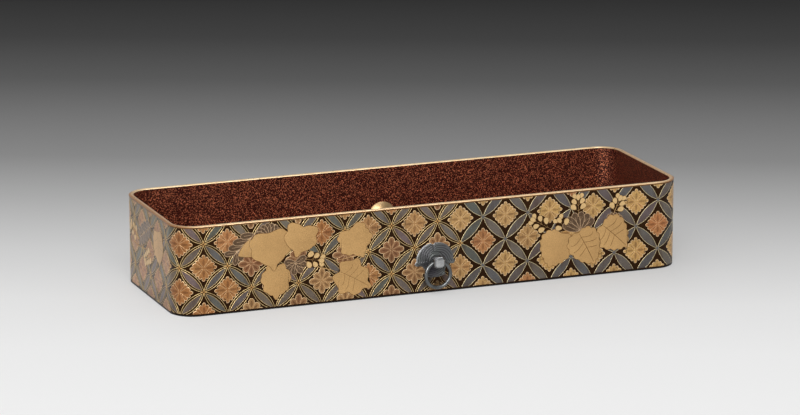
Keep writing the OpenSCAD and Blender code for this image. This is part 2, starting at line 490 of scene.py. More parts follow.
# %% [markdown]
# ## The finishes of the decoration
#
# Powdered gold and pigments are sprinkled into wet lacquer, so these surfaces are neither paint nor solid
# metal: partly metallic, satin, and slightly uneven. Each raised area carries its own tint as a colour on
# its mesh, and noise at the scale of the powder breaks it up. The gloss of old lacquer is brown where the
# wall is seen straight on, and turns into a pale sheen where it is seen at a flat angle. The specular tint
# does that, because it colours only the reflection at a right angle. Behind the lower half of each ring the
# powder darkens almost to black: partly wear where the ring knocks, partly painted shadow of ring and plate.

# %% Wear and painted shadow behind the rings
WEAR_SHADOW_DARK = paint(20, 15, 11)
WEAR_SHADOW_RISE = 4.0 * MM
WEAR_SHADOW_CORE = 4.0 * MM
WEAR_SHADOW_REACH = 7.0 * MM
WEAR_SHADOW_PATCH = 1.5 * MM
WEAR_SHADOW_RANGE = (0.35, 0.6)
WEAR_SHADOW_LEAST = 0.6
WEAR_SHADOW_DEPTH = 0.88

wear_shadow_places = []
for ring, wall in (("front_ring", coat_low.y), ("back_ring", coat_high.y)):
    ring_low, ring_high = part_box(ring)
    wear_shadow_places.append(((ring_low.x + ring_high.x) / 2, wall, ring_low.z + WEAR_SHADOW_RISE))


def wear_and_shadow(finish):
    """Wear and painted shadow of ring and plate on the wall behind the lower half of the rings, from 0 to 1.
    """
    spots = []
    for middle in wear_shadow_places:
        distance = finish.vectors("DISTANCE", finish.place(), middle)
        spots.append(finish.spread(distance, WEAR_SHADOW_CORE, WEAR_SHADOW_REACH, 1.0, 0.0))
    patchy = finish.spread(finish.noise(WEAR_SHADOW_PATCH, 2), *WEAR_SHADOW_RANGE, WEAR_SHADOW_LEAST, 1.0)
    return (spots[0] + spots[1]) * patchy


print("the rings knock at", in_mm(wear_shadow_places))

# %% Finishes of the outer wall
LACQUER_GLOSS = {"IOR": 1.8, "Specular_Tint": (0.2, 0.09, 0.03, 1.0)}
POWDER_SHEEN = {"Sheen_Weight": 0.25, "Sheen_Roughness": 0.35}
RUBBED_BROWN = paint(58, 40, 26)
RUBBED_PATCH = 7 * MM
RUBBED_RANGE = (0.42, 0.75)
ROUGHNESS_SWING = 0.1


def powder_finish(name, metallic, roughness, grain, wear, unevenness=0.24):
    """Powder in lacquer, with grains of one size. Wear is how far it is rubbed through in patches."""
    finish = Finish(name, Metallic=metallic, **POWDER_SHEEN, **LACQUER_GLOSS)
    tint = finish.node("ShaderNodeAttribute", {"attribute_name": "tint"})
    darkest, brightest = 1 - unevenness, 1 + unevenness
    speck = finish.uneven(grain, 1, darkest, brightest)
    shade = finish.node("ShaderNodeVectorMath", {"operation": "SCALE"}, {0: tint, 3: speck})
    rubbed = finish.spread(finish.noise(RUBBED_PATCH, 4), *RUBBED_RANGE)
    worn = finish.mix(wear * rubbed, shade, RUBBED_BROWN)
    # painted shadow of the rings and plates, together with wear: the powder darkens behind each ring
    finish.feed("Base Color", finish.mix(WEAR_SHADOW_DEPTH * wear_and_shadow(finish), worn, WEAR_SHADOW_DARK))
    smoother = 2 * ROUGHNESS_SWING * finish.spread(speck, darkest, brightest)
    finish.feed("Roughness", roughness + ROUGHNESS_SWING - smoother)
    return finish


def black_lacquer():
    """The bare ground, black with brownish clouds."""
    finish = Finish("black_lacquer", **LACQUER_GLOSS)
    finish.feed("Base Color", finish.mottled(14 * MM, 4, (22, 10, 4), (38, 22, 10), (0.3, 0.75)))
    finish.feed("Roughness", finish.uneven(3 * MM, 3, 0.3, 0.42))
    return finish


black_ground = black_lacquer()
grey_powder = powder_finish("grey_powder", 0.15, roughness=0.38, grain=0.35 * MM, wear=0.35)
petal_powder = powder_finish("petal_powder", 0.1, roughness=0.38, grain=0.4 * MM, wear=0.2)
gold_line = powder_finish("gold_line", 0.25, roughness=0.36, grain=0.5 * MM, wear=0.15)
gold_leaf = powder_finish("gold_leaf", 0.2, roughness=0.4, grain=0.3 * MM, wear=0.1, unevenness=0.14)
outer_finishes = (black_ground, grey_powder, petal_powder, gold_line, gold_leaf)
print("outer finishes:", [finish.material.name for finish in outer_finishes])

# %% [markdown]
# ## The lattice
#
# Pointed ovals, laid corner to corner at 45 degrees, make the old pattern of interlocked rings. Every oval
# is a patch of grey powder with a gold line at its edge, and a second gold line outside it on the rim of the
# ring. At the right of the front the ovals are fuller and the outer line is left off. Whole rings could be
# drawn across each other, but ovals between two neighbouring nodes need no cutting where rings cross.
# Twenty-eight repeats close the pattern exactly round the box. A brown line under the rim ends it at the top.

# %% Plan the lattice
ROW = 11.45 * MM
ROWS = 4
TOP_NODE = 33.6 * MM
FIRST_COLUMN = 1.4 * MM
CLOSING = 2 * MM
CLOSING_TURN = 1.14
CLOSING_FALL = 8
ROW_DRIFT = 0.03
FULL_OVALS_FROM = 14 * MM
OVAL_STEPS = 12


def node_place(row, column):
    """Where four ovals meet. Odd rows start at the first column, even rows half a column later.

    The pattern is laid as given: towards the right it closes up a little and its rows stand further apart.
    """
    x = FIRST_COLUMN + COLUMN * (column + (0.5 if row % 2 == 0 else 0.0))
    turn = 2 * math.pi * x / around
    closing = CLOSING * math.exp(CLOSING_FALL * (math.cos(turn - CLOSING_TURN) - 1))
    return (x - closing, TOP_NODE - ROW * (ROWS - 1 - row) * (1 + ROW_DRIFT * math.sin(turn)))


def is_full(along):
    """Whether the ovals at this place are the fuller ones at the right of the front."""
    return FULL_OVALS_FROM < along < straight_x / 2 + corner_arc


def oval_arc(start, end, bulge, gap=0.0):
    """Points of one arc from start to end, bulging to the left of that direction, with a gap at each end."""
    run = Vector((end[0] - start[0], end[1] - start[1]))
    middle = ((start[0] + end[0]) / 2, (start[1] + end[1]) / 2)
    length = run.length - 2 * gap
    run.normalize()
    radius = (length * length / 4 + bulge * bulge) / (2 * bulge)
    path = []
    for step in range(OVAL_STEPS + 1):
        u = length * (step / OVAL_STEPS - 0.5)
        v = math.sqrt(radius * radius - u * u) - (radius - bulge)
        path.append((middle[0] + run.x * u - run.y * v, middle[1] + run.y * u + run.x * v))
    return path


print("the lattice has", ROWS, "rows of ovals,", 2 * REPEATS, "in each")

# %% Draw the ovals
INNER_BULGE = 1.5 * MM
OUTER_BULGE = 2.55 * MM
FULL_BULGE = 1.95 * MM
TIP_GAP = 1.2 * MM
FULL_TIP_GAP = 0.3 * MM
FILL_HEIGHT = 0.03 * MM
LINE_WIDTH = 0.28 * MM
LINE_HEIGHT = 0.06 * MM
PLAIN_STEPS = range(4, 10)

PLAIN_GREY = paint(98, 98, 98)
GREYS = (paint(108, 100, 94), paint(112, 98, 98), paint(94, 98, 90), paint(116, 106, 94), PLAIN_GREY)
SLATE = paint(70, 76, 82)
SLATE_SHARE = 0.3
TIP_BROWN = 0.35
GOLD = paint(216, 187, 132)
PALE_GOLD = paint(228, 210, 164)

chance = random.Random(7)
lattice_fill = Relief("lattice_fill", grey_powder)
lattice_lines = Relief("lattice_lines", gold_line, "gold")


def blend_colours(share, first, second):
    return tuple(a + (b - a) * share for a, b in zip(first, second))


def pointed_oval(start, end):
    """One oval between two nodes, browner towards its tips, with its gold lines."""
    full = is_full((start[0] + end[0]) / 2)
    bulge = FULL_BULGE if full else INNER_BULGE
    gap = FULL_TIP_GAP if full else TIP_GAP
    colour = blend_colours(chance.random(), chance.choice(GREYS), chance.choice(GREYS))
    if full:
        colour = blend_colours(SLATE_SHARE, colour, SLATE)
    dark = blend_colours(TIP_BROWN, colour, RUBBED_BROWN)
    sides = oval_arc(end, start, bulge, gap)[:-1] + oval_arc(start, end, bulge, gap)[:-1]
    shades = [colour if step % OVAL_STEPS in PLAIN_STEPS else dark for step in range(2 * OVAL_STEPS)]
    lattice_fill.patch(sides[::-1], FILL_HEIGHT, shades)
    for first, last in ((start, end), (end, start)):
        edge = PALE_GOLD if full else GOLD
        lattice_lines.line(oval_arc(first, last, bulge, gap), LINE_WIDTH, LINE_HEIGHT, edge)
        if not full:
            lattice_lines.line(oval_arc(first, last, OUTER_BULGE), LINE_WIDTH, LINE_HEIGHT, GOLD)


for row in range(ROWS):
    for column in range(REPEATS):
        step = column if row % 2 == 0 else column - 1
        for side in (0, 1):
            pointed_oval(node_place(row, column), node_place(row + 1, step + side))
print("drew", 2 * ROWS * REPEATS, "ovals")

# %% Add the stars and the border
Star = namedtuple("Star", "reach waist height")
FULL_STAR = Star(0.9 * MM, 0.7 * MM, 0.065 * MM)
GOLD_STAR = Star(1.6 * MM, 0.6 * MM, 0.07 * MM)
STAR_MIDDLE = Star(0.7 * MM, 0.3 * MM, 0.08 * MM)
STAR_GOLD = paint(204, 160, 100)
BORDER = 0.5 * MM
BORDER_HEIGHT = 0.1 * MM
BORDER_BROWN = paint(104, 72, 42)


def star(relief, x, z, size, colour):
    """A star of four points, as on the nodes where four ovals meet."""
    points = []
    for point in range(8):
        radius = size.reach if point % 2 == 0 else size.waist
        angle = point * math.pi / 4
        points.append((x + radius * math.cos(angle), z + radius * math.sin(angle)))
    relief.patch(points, size.height, colour)


for row in range(1, ROWS):
    for column in range(REPEATS):
        x, z = node_place(row, column)
        if is_full(x):
            star(lattice_fill, x, z, FULL_STAR, PLAIN_GREY)
        else:
            star(lattice_lines, x, z, GOLD_STAR, STAR_GOLD)
            star(lattice_fill, x, z, STAR_MIDDLE, RUBBED_BROWN)
for column in range(REPEATS):
    left, right = column * COLUMN, (column + 1) * COLUMN
    top, low = coat_high.z, coat_high.z - BORDER
    border = [(left, low), (right, low), (right, top), (left, top)]
    lattice_lines.patch(border, BORDER_HEIGHT, BORDER_BROWN)
lattice_fill.make()
lattice_lines.make()

# %% [markdown]
# ## The flowers
#
# Each opening of the lattice holds a flower in a diamond: four large petals to the corners and four small
# ones between them, all with scalloped ends. Petals are patches of warm powder with a darker drop in the
# middle, edged and parted by raised lines. The powder runs from orange brown on the left to yellow gold on
# the right. Many flowers left of the ring are of a second kind, browner, with fewer and rounder scallops. One
# flower could be copied into every opening, but handwork varies, so each one draws its own shades.

# %% Kinds and colours of flowers
Kind = namedtuple("Kind", "scallops depth half_petal drop_middle drop_reach drop_shade")
FINE_KIND = Kind(16, 0.18, math.pi * 3 / 16, 0.45, 0.24, 0.42)
ROUND_KIND = Kind(8, 0.25, math.pi / 8, 0.55, 0.27, 0.5)
ROUND_FROM = -0.4
ROUND_TO = 0.045
ROUND_CHANCE = 0.8
ROUND_LEAST_TAN = 0.25

ORANGE_BROWN = paint(162, 111, 67)
TAN = paint(174, 137, 92)
YELLOW_GOLD = paint(194, 156, 98)
MAROON = paint(112, 68, 54)
ORANGE_RED = paint(172, 100, 60)
RED_CHANCE = 0.08
RED_MOST_TAN = 0.6
DRIFT = 1.6
DRIFT_JITTER = 0.12


def round_colour():
    return blend_colours(ROUND_LEAST_TAN + (1 - ROUND_LEAST_TAN) * chance.random(), MAROON, TAN)


def fine_colour(share):
    """Colour at a share of the box's length from its middle, with a few redder flowers among the rest."""
    if chance.random() < RED_CHANCE:
        return blend_colours(chance.random() * RED_MOST_TAN, ORANGE_RED, TAN)
    place = min(max(0.5 + DRIFT * share + chance.uniform(-DRIFT_JITTER, DRIFT_JITTER), 0), 1)
    if place < 0.5:
        return blend_colours(place * 2, ORANGE_BROWN, TAN)
    return blend_colours(place * 2 - 1, TAN, YELLOW_GOLD)


print("round flowers have", ROUND_KIND.scallops, "scallops, fine ones", FINE_KIND.scallops)

# %% Draw the flowers
FLOWER_WIDTH = 6.3 * MM
FLOWER_HEIGHT = 6.2 * MM
FLOWER_EYE = 0.6 * MM
EYE_WAIST = 0.8
DIAMOND_POWER = 1.18
SCALLOP_POWER = 0.55
SCALLOP_STEPS = 5
DROP_STEPS = 14
DROP_WIDTH = 0.42
PETAL_RISE = 0.04 * MM
DROP_RISE = 0.05 * MM
EDGE_WIDTH = 0.46 * MM
EDGE_RISE = 0.075 * MM
SEAM_WIDTH = 0.38 * MM
SEAM_RISE = 0.065 * MM
PETAL_SHADE = paint(66, 34, 24)
PALE_EDGE = paint(240, 206, 160)
EDGE_PALENESS = 0.75
SEAM_PALENESS = 0.65
SECOND_SHARE = 0.3

petal_fill = Relief("flower_petals", petal_powder)
petal_lines = Relief("flower_lines", gold_line, "gold")


class Flower:
    """One flower of the lattice, of the fine or the round kind."""

    def __init__(self, x, z):
        self.x, self.z = x, z
        share = wrap(x, 0)[0] / straight_x
        is_round = ROUND_FROM < share < ROUND_TO and chance.random() < ROUND_CHANCE
        self.kind = ROUND_KIND if is_round else FINE_KIND
        self.colour = round_colour() if is_round else fine_colour(share)
        self.second = blend_colours(SECOND_SHARE, self.colour, chance.choice((MAROON, ORANGE_RED, TAN)))
        self.edge = blend_colours(EDGE_PALENESS, self.colour, PALE_EDGE)
        self.seam = blend_colours(SEAM_PALENESS, self.colour, PALE_EDGE)

    def spot(self, angle, share):
        """Point in one direction from the eye, at a share of the way to the scalloped diamond."""
        spread = abs(math.cos(angle)) ** DIAMOND_POWER + abs(math.sin(angle)) ** DIAMOND_POWER
        scallop = abs(math.cos(self.kind.scallops / 2 * angle)) ** SCALLOP_POWER
        reach = share * spread ** (-1 / DIAMOND_POWER) * (1 - self.kind.depth + self.kind.depth * scallop)
        return (
            self.x + FLOWER_WIDTH * reach * math.cos(angle),
            self.z + FLOWER_HEIGHT * reach * math.sin(angle),
        )

    def drop(self, middle, half, colour):
        """The dark drop in the middle of a petal."""
        path = []
        for step in range(DROP_STEPS):
            turn = -2 * math.pi * step / DROP_STEPS
            share = self.kind.drop_middle - self.kind.drop_reach * math.cos(turn)
            path.append(self.spot(middle + DROP_WIDTH * half * math.sin(turn), share))
        petal_fill.patch(path, DROP_RISE, blend_colours(self.kind.drop_shade, colour, PETAL_SHADE))

    def petal(self, middle, half):
        eye = FLOWER_EYE / FLOWER_WIDTH
        steps = round(half * self.kind.scallops / math.pi * SCALLOP_STEPS)
        path = [self.spot(middle - half, eye)]
        path += [self.spot(middle + half * (2 * step / steps - 1), 1) for step in range(steps + 1)]
        path.append(self.spot(middle + half, eye))
        colour = blend_colours(chance.random(), self.colour, self.second)
        petal_fill.patch(path, PETAL_RISE, colour)
        petal_lines.line(path[1:-1], EDGE_WIDTH, EDGE_RISE, self.edge)
        petal_lines.line(path[:2], SEAM_WIDTH, SEAM_RISE, self.seam)
        self.drop(middle, half, colour)

    def draw(self):
        large = self.kind.half_petal
        for turn in range(4):
            self.petal(turn * math.pi / 2, large)
            self.petal((turn + 0.5) * math.pi / 2, math.pi / 4 - large)
        eye = Star(FLOWER_EYE, FLOWER_EYE * EYE_WAIST, EDGE_RISE)
        star(petal_fill, self.x, self.z, eye, self.colour)


for row in range(ROWS + 1):
    for column in range(REPEATS):
        Flower(*node_place(row, column + 0.5)).draw()
petal_fill.make()
petal_lines.make()

# %% [markdown]
# ## The leaf sprays
#
# Over the lattice lie sprays of broad gold leaves, buds on thin stems and small dark leaves drawn in outline.
# A leaf could be drawn point by point, but a formula is shorter and bends to any size: in polar form round
# its middle it has a notch where the stem joins, a tip, soft lobes and rounded teeth. Its edge and veins are
# fine brown lines.

# %% Draw broad leaves
LEAF_GOLD = paint(200, 160, 106)
LEAF_VEIN = paint(116, 82, 46)
LEAF_STEPS = 120
LEAF_RISE = 0.12 * MM
LEVEL = 0.012 * MM
LEAF_LINE = 0.22 * MM
LINE_LIFT = 0.006 * MM
LINE_SINK = 0.004 * MM
NOTCH_SPAN = 0.22
TIP_SPAN = 0.2
TIP_REACH = 0.08
TOOTH = 0.09
TOOTH_MIDDLE = 0.6
HALF_SHADE = 0.12
RIB_ROOT = 0.9
RIB_TIP = 0.88
RIB_WIDTH = 1.2
RIB_TAPER = 0.3
VEINS_FROM = 0.12
VEINS_SPAN = 0.55
VEIN_REACH = 0.8
VEIN_TAPER = 0.4

spray_leaves = Relief("spray_leaves", gold_leaf, "gold")
spray_lines = Relief("spray_lines", gold_line, "gold")


def curve(start, bend, end, steps=6):
    """Points of a line that leaves start towards bend and comes into end."""
    path = []
    for step in range(steps + 1):
        t = step / steps
        weights = ((1 - t) ** 2, 2 * t * (1 - t), t * t)
        corners = (start, bend, end)
        path.append(tuple(sum(w * p[axis] for w, p in zip(weights, corners)) for axis in (0, 1)))
    return path


def fine_line(surface, lift, colour):
    """How a line is drawn on a raised surface: its foot just inside it, its ridge a little above."""
    return {"height": surface + lift, "colour": colour, "base": surface - LINE_SINK}


class Leaf:
    """A broad leaf, with its middle and size in millimetres on the wall, and its tip turned in degrees."""

    def __init__(self, x, z, turn, length, width, lobes=3, lobe_depth=0.04, teeth=0, egg=0.15, notch=0.1):
        self.x, self.z = x * MM, z * MM
        self.turn = math.radians(turn)
        self.length, self.width = length * MM / 2, width * MM / 2
        self.lobes, self.lobe_depth, self.teeth = lobes, lobe_depth, teeth
        self.egg, self.notch = egg, notch

    def reach(self, angle):
        from_tip = abs((angle + math.pi) % (2 * math.pi) - math.pi)
        from_stem = math.pi - from_tip
        reach = 1 + self.lobe_depth * math.cos(self.lobes * from_tip)
        reach *= 1 - self.notch * math.exp(-(from_stem / NOTCH_SPAN) ** 2)
        reach *= 1 + TIP_REACH * math.exp(-(from_tip / TIP_SPAN) ** 2)
        if self.teeth:
            tooth = abs(math.cos(self.teeth * from_tip / 2)) - TOOTH_MIDDLE
            reach *= 1 + TOOTH * tooth * min(1, 2 * from_stem)
        return reach

    def spot(self, angle, share):
        """Point at an angle from the tip, seen from the leaf's middle, at a share of the way to its edge."""
        u = share * self.reach(angle) * math.cos(angle) * self.length
        v = share * self.reach(angle) * math.sin(angle) * self.width * (1 - self.egg * math.cos(angle))
        cos, sin = math.cos(self.turn), math.sin(self.turn)
        return (self.x + u * cos - v * sin, self.z + u * sin + v * cos)

    def draw(self, level=0, veins=0, vein_width=0.4):
        surface = LEAF_RISE + level * LEVEL
        turns = [2 * math.pi * step / LEAF_STEPS for step in range(LEAF_STEPS)]
        outline = [self.spot(turn, 1) for turn in turns]
        shades = [blend_colours(HALF_SHADE * (1 + math.sin(turn)), LEAF_GOLD, LEAF_VEIN) for turn in turns]
        spray_leaves.patch(outline, surface, shades)
        brown = fine_line(surface, LINE_LIFT, LEAF_VEIN)
        spray_lines.line(outline, LEAF_LINE, closed=True, **brown)
        if veins:
            self.draw_veins(veins, vein_width * MM, brown)

    def draw_veins(self, veins, width, brown):
        """A midrib, and pairs of side veins: the later one leaves it, the nearer to the tip it ends."""
        root, tip = self.spot(math.pi, RIB_ROOT), self.spot(0, RIB_TIP)
        midrib = curve(root, self.spot(0.4, 0.15), tip)
        spray_lines.line(midrib, width * RIB_WIDTH, taper=RIB_TAPER, **brown)
        for vein in range(veins):
            along = vein / veins
            start = tuple(a + (b - a) * (VEINS_FROM + VEINS_SPAN * along) for a, b in zip(root, tip))
            for side in (-1, 1):
                end = self.spot(side * (2.1 - 1.5 * along), VEIN_REACH)
                bend = tuple((a + b) / 2 for a, b in zip(end, self.spot(side * (1.5 - along), 0.45)))
                spray_lines.line(curve(start, bend, end), width, taper=VEIN_TAPER, **brown)


print("a broad leaf has", LEAF_STEPS, "points round its edge")

# %% [markdown]
# ## Buds and small leaves
#
# Buds sit in pairs on a thin stem and grow smaller towards its end. On the long sides the ground under them
# is left black, so that they stand out from the lattice. The small dark leaves fan out from one point, or
# stand in pairs along a midrib like the barbs of a feather. All are the same egg-shaped oval in other sizes,
# and those that overlap lie at slightly different levels, so that no two surfaces flicker through each other.

# %% Draw buds on stems
BUD_GOLD = paint(216, 182, 128)
BUD_LENGTH = 3.5 * MM
BUD_WIDTH = 2.6 * MM
BUD_REACH = 3.3 * MM
BUD_SIZE = 1.05
BUD_LEAN = 0.95
BUD_FADE = 0.3
TIP_BUD_SIZE = 0.85
PAIRS_FROM = 0.3
PAIRS_SPAN = 0.55
BUD_RISE = 0.12 * MM
BUD_LEVEL = 0.003 * MM
BUD_LINE = 0.2 * MM
BUD_LIFT = 0.004 * MM
TWIG_WIDTH = 0.35 * MM
BUD_STEM_WIDTH = 0.4 * MM
STEM_WIDTH = 0.45 * MM
STEM_RISE = 0.118 * MM
STEM_TAPER = 0.3
BARE_MIDDLE = 0.6
BARE_LENGTH = 0.9
BARE_WIDTH = 7.2 * MM
BARE_RISE = 0.085 * MM

spray_ground = Relief("spray_ground", black_ground, "black_lacquer")


def oval(x, z, angle, length, width, steps=12):
    """Outline of a bud or small leaf, fuller towards its far end."""
    cos, sin = math.cos(angle), math.sin(angle)
    outline = []
    for step in range(steps):
        turn = 2 * math.pi * step / steps
        u = length / 2 * math.cos(turn)
        v = width / 2 * math.sin(turn) * (1 + 0.25 * math.cos(turn))
        outline.append((x + u * cos - v * sin, z + u * sin + v * cos))
    return outline


def ahead(start, angle, distance):
    return (start[0] + distance * math.cos(angle), start[1] + distance * math.sin(angle))


def bud(x, z, angle, size, level):
    surface = BUD_RISE + level * BUD_LEVEL
    outline = oval(x, z, angle, BUD_LENGTH * size, BUD_WIDTH * size)
    spray_leaves.patch(outline, surface, BUD_GOLD)
    spray_lines.line(outline, BUD_LINE, closed=True, **fine_line(surface, BUD_LIFT, LEAF_VEIN))


def bud_spray(x, z, turn, length, pairs, bare=True):
    """A stem with pairs of buds and one at its tip, most often on a patch of bare ground.

    Towards the tip the buds fade: they grow smaller and lean closer to the stem.
    """
    root, angle, length = (x * MM, z * MM), math.radians(turn), length * MM
    if bare:
        middle = ahead(root, angle, length * BARE_MIDDLE)
        spray_ground.patch(oval(*middle, angle, length * BARE_LENGTH, BARE_WIDTH, 24), BARE_RISE, GOLD)
    tip = ahead(root, angle, length)
    spray_lines.line([root, tip], BUD_STEM_WIDTH, BUD_RISE, LEAF_GOLD)
    for pair in range(pairs):
        share = PAIRS_FROM + PAIRS_SPAN * pair / max(1, pairs - 1)
        size = BUD_SIZE - BUD_FADE * share
        foot = ahead(root, angle, length * share)
        for side in (-1, 1):
            lean = angle + side * (BUD_LEAN - BUD_FADE * share)
            spot = ahead(foot, lean, BUD_REACH * size)
            spray_lines.line([foot, spot], TWIG_WIDTH, BUD_RISE, LEAF_GOLD)
            bud(*spot, lean, size, 2 * pair + side)
    bud(*tip, angle, TIP_BUD_SIZE, 2 * pairs)


def stem(*points):
    path = curve(*[(x * MM, z * MM) for x, z in points], 10)
    spray_lines.line(path, STEM_WIDTH, STEM_RISE, LEAF_GOLD, taper=STEM_TAPER)


print("buds are up to", round(BUD_LENGTH / MM, 1), "mm long")

# %% Draw small dark leaves
DARK_LEAF = paint(92, 74, 58)
DARK_EDGE = paint(184, 154, 122)
DARK_RISE = 0.08 * MM
DARK_LEVEL = 0.005 * MM
DARK_LIFT = 0.01 * MM
DARK_EDGE_WIDTH = 0.28 * MM
DARK_RIB_WIDTH = 0.22 * MM
DARK_RIB_SHARE = 0.75
MIDRIB_RISE = 0.125 * MM
LEAFLET_LENGTH = 7.6 * MM
LEAFLET_WIDTH = 3.3 * MM
LEAFLET_LEAN = math.radians(38)
LEAFLETS_FROM = 0.12
LEAFLETS_SPAN = 0.75
LONGEST_AT = 0.4
SHORTENING = 0.45

dark_leaves = Relief("dark_leaves", grey_powder)


def dark_leaf(root, angle, length, width, level):
    surface = DARK_RISE + level * DARK_LEVEL
    outline = oval(*ahead(root, angle, length / 2), angle, length, width, 16)
    dark_leaves.patch(outline, surface, DARK_LEAF)
    pale = fine_line(surface, DARK_LIFT, DARK_EDGE)
    spray_lines.line(outline, DARK_EDGE_WIDTH, closed=True, **pale)
    spray_lines.line([root, ahead(root, angle, length * DARK_RIB_SHARE)], DARK_RIB_WIDTH, **pale)


def dark_fan(x, z, turn, spread, count, length, width):
    """Small dark leaves that fan out from one point."""
    for leaf in range(count):
        angle = math.radians(turn + spread * (leaf / (count - 1) - 0.5))
        dark_leaf((x * MM, z * MM), angle, length * MM, width * MM, leaf)


def dark_feather(x, z, turn, length, pairs):
    """A dark leaf cut into narrow leaflets along a pale midrib."""
    root, angle, length = (x * MM, z * MM), math.radians(turn), length * MM
    for pair in range(pairs):
        share = LEAFLETS_FROM + LEAFLETS_SPAN * pair / (pairs - 1)
        size = 1 - SHORTENING * abs(share - LONGEST_AT)
        foot = ahead(root, angle, length * share)
        for side in (-1, 1):
            level = 2 * (pairs - pair) + side
            dark_leaf(foot, angle + side * LEAFLET_LEAN, LEAFLET_LENGTH * size, LEAFLET_WIDTH * size, level)
    spray_lines.line([root, ahead(root, angle, length)], STEM_WIDTH, MIDRIB_RISE, DARK_EDGE)


print("leaflets of a feathered leaf lean", round(math.degrees(LEAFLET_LEAN)), "degrees from its midrib")

# %% [markdown]
# ## Composing the sprays
#
# The sprays are the free part of the design, placed where they balance the ring: one left of it, one
# right of it, and a smaller one on each end. Each is a short list of leaves and buds, in millimetres along
# and up the wall, so that it can be moved as a whole. The back repeats the two sprays of the front.

# %% Compose the sprays
def broad_spray(at):
    """Two big leaves over two smaller ones, dark leaves behind them and two more leaves on a side stem."""
    dark_feather(at - 18.5, 37.0, 222, 15, 4)
    dark_fan(at - 13, 33.5, 95, 165, 9, 7.0, 3.0)
    dark_fan(at, 20.5, -80, 220, 6, 5.6, 2.9)
    stem((at - 3, 21), (at + 12, 18), (at + 21, 14))
    stem((at + 18, 20), (at + 28, 20), (at + 36, 23.5))
    bud_spray(at + 1.5, 22.5, -10, 11, 3)
    Leaf(at - 22.6, 28.9, 205, 9.5, 7.5, lobe_depth=0.06, egg=0.3).draw()
    Leaf(at - 9.6, 13.4, -90, 15.5, 14, lobes=7, lobe_depth=0.05, teeth=12, egg=0.1).draw()
    Leaf(at - 11.8, 28.2, -82, 17.5, 19, lobes=5, lobe_depth=0.07, teeth=9, egg=0.42, notch=0.05).draw(1)
    Leaf(at + 2.4, 31.8, -104, 14.5, 15.5, lobes=5, lobe_depth=0.09, teeth=8, egg=0.3, notch=0.16).draw(2)
    Leaf(at + 29.0, 28.3, -64, 15, 16, lobes=5, lobe_depth=0.09, teeth=14, egg=0.2).draw()
    Leaf(at + 27.4, 11.0, -30, 17.5, 16, lobes=7, lobe_depth=0.1, teeth=11).draw(1, veins=3, vein_width=0.25)


def three_leaf_spray(at):
    """Three leaves side by side, two of them veined, under sprays of buds."""
    dark_fan(at - 2.5, 22.5, 95, 125, 6, 9.0, 3.8)
    dark_fan(at + 15, 24, 80, 80, 5, 5.5, 2.6)
    bud_spray(at - 15.5, 23.8, 150, 12, 3)
    bud_spray(at - 8.5, 22.5, 125, 7, 2)
    bud_spray(at - 2.8, 29.0, 92, 9.5, 3)
    bud_spray(at + 14.4, 27.4, 65, 9.5, 3)
    Leaf(at - 14.0, 15.4, -112, 17, 17.5, teeth=16, notch=0.12).draw()
    Leaf(at + 14.8, 19.2, -42, 17.5, 16.5, teeth=15, egg=0.18, notch=0.14).draw(veins=3)
    Leaf(at + 0.8, 14.9, -62, 18, 16, teeth=15, notch=0.14).draw(1, veins=3)


def end_spray(at):
    """One broad leaf with a feathered dark leaf, and buds on a long stem, on the short sides."""
    dark_feather(at + 5, 35.5, 208, 21, 5)
    stem((at - 23, 21.5), (at - 8, 20), (at + 9, 25))
    bud_spray(at - 14, 24, 160, 13, 3, bare=False)
    bud_spray(at + 6, 23, 208, 14, 4, bare=False)
    Leaf(at + 13.5, 27.5, -80, 15.5, 14, lobes=5, teeth=12, egg=0.2).draw(veins=2, vein_width=0.25)


end_middle = (straight_x / 2 + corner_arc + straight_y / 2) / MM
back_middle = around / MM / 2
broad_spray(-68)
three_leaf_spray(75)
end_spray(-end_middle)
end_spray(end_middle)
broad_spray(back_middle - 62)
three_leaf_spray(back_middle + 72)
for relief in (dark_leaves, spray_ground, spray_leaves, spray_lines):
    relief.make()

# %% [markdown]
# ## The plates
#
# Each ring hangs on a small forged plate. The solid has its outline and thickness, and the real one is also
# bevelled at the edge and engraved with sweeping lines. Its edge is brighter, partly rubbed and partly a
# painted highlight, and it is darker left of and below the pin, partly tarnish and partly painted shadow of
# the ring and the pin's head. A bump could not darken the cuts or round the edge, so a new piece is made. It
# follows the solid's own outline, found by looking outward from the pin, so it sits exactly where the solid
# is and stands for it.

# %% Find a plate's outline and levels
def outline_edges(node, pin, face):
    """Edges of the solid's outline on its visible face, as points about the pin."""
    found = []
    mesh = nodes[node].data
    for edge in mesh.edges:
        ends = [mesh.vertices[index].co for index in edge.vertices]
        if all(abs(end.y - face) < SAME_PLACE for end in ends):
            found.append([(end.x - pin.x, end.z - pin.z) for end in ends])
    return found


def reach_of(edges, angle):
    """How far the outline lies from the pin in one direction."""
    cos, sin = math.cos(angle), math.sin(angle)
    best = 0
    for (x1, z1), (x2, z2) in edges:
        side_1, side_2 = z1 * cos - x1 * sin, z2 * cos - x2 * sin
        if side_1 * side_2 <= 0 and side_1 != side_2:
            share = side_1 / (side_1 - side_2)
            best = max(best, (x1 + share * (x2 - x1)) * cos + (z1 + share * (z2 - z1)) * sin)
    return best


def plate_levels(node, outward):
    """Where the plate's foot on the wall, its face and its raised seat lie along y."""
    low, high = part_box(node)
    foot, seat = (low.y, high.y) if outward > 0 else (high.y, low.y)
    levels = {round(vert.co.y, 6) for vert in nodes[node].data.vertices}
    return foot, sorted(levels, key=lambda level: abs(level - foot))[1], seat


foot, face, seat = plate_levels("front_plate", -1)
print("plate", round(abs(face - foot) / MM, 2), "mm thick, its seat", round(abs(seat - foot) / MM, 2), "mm")

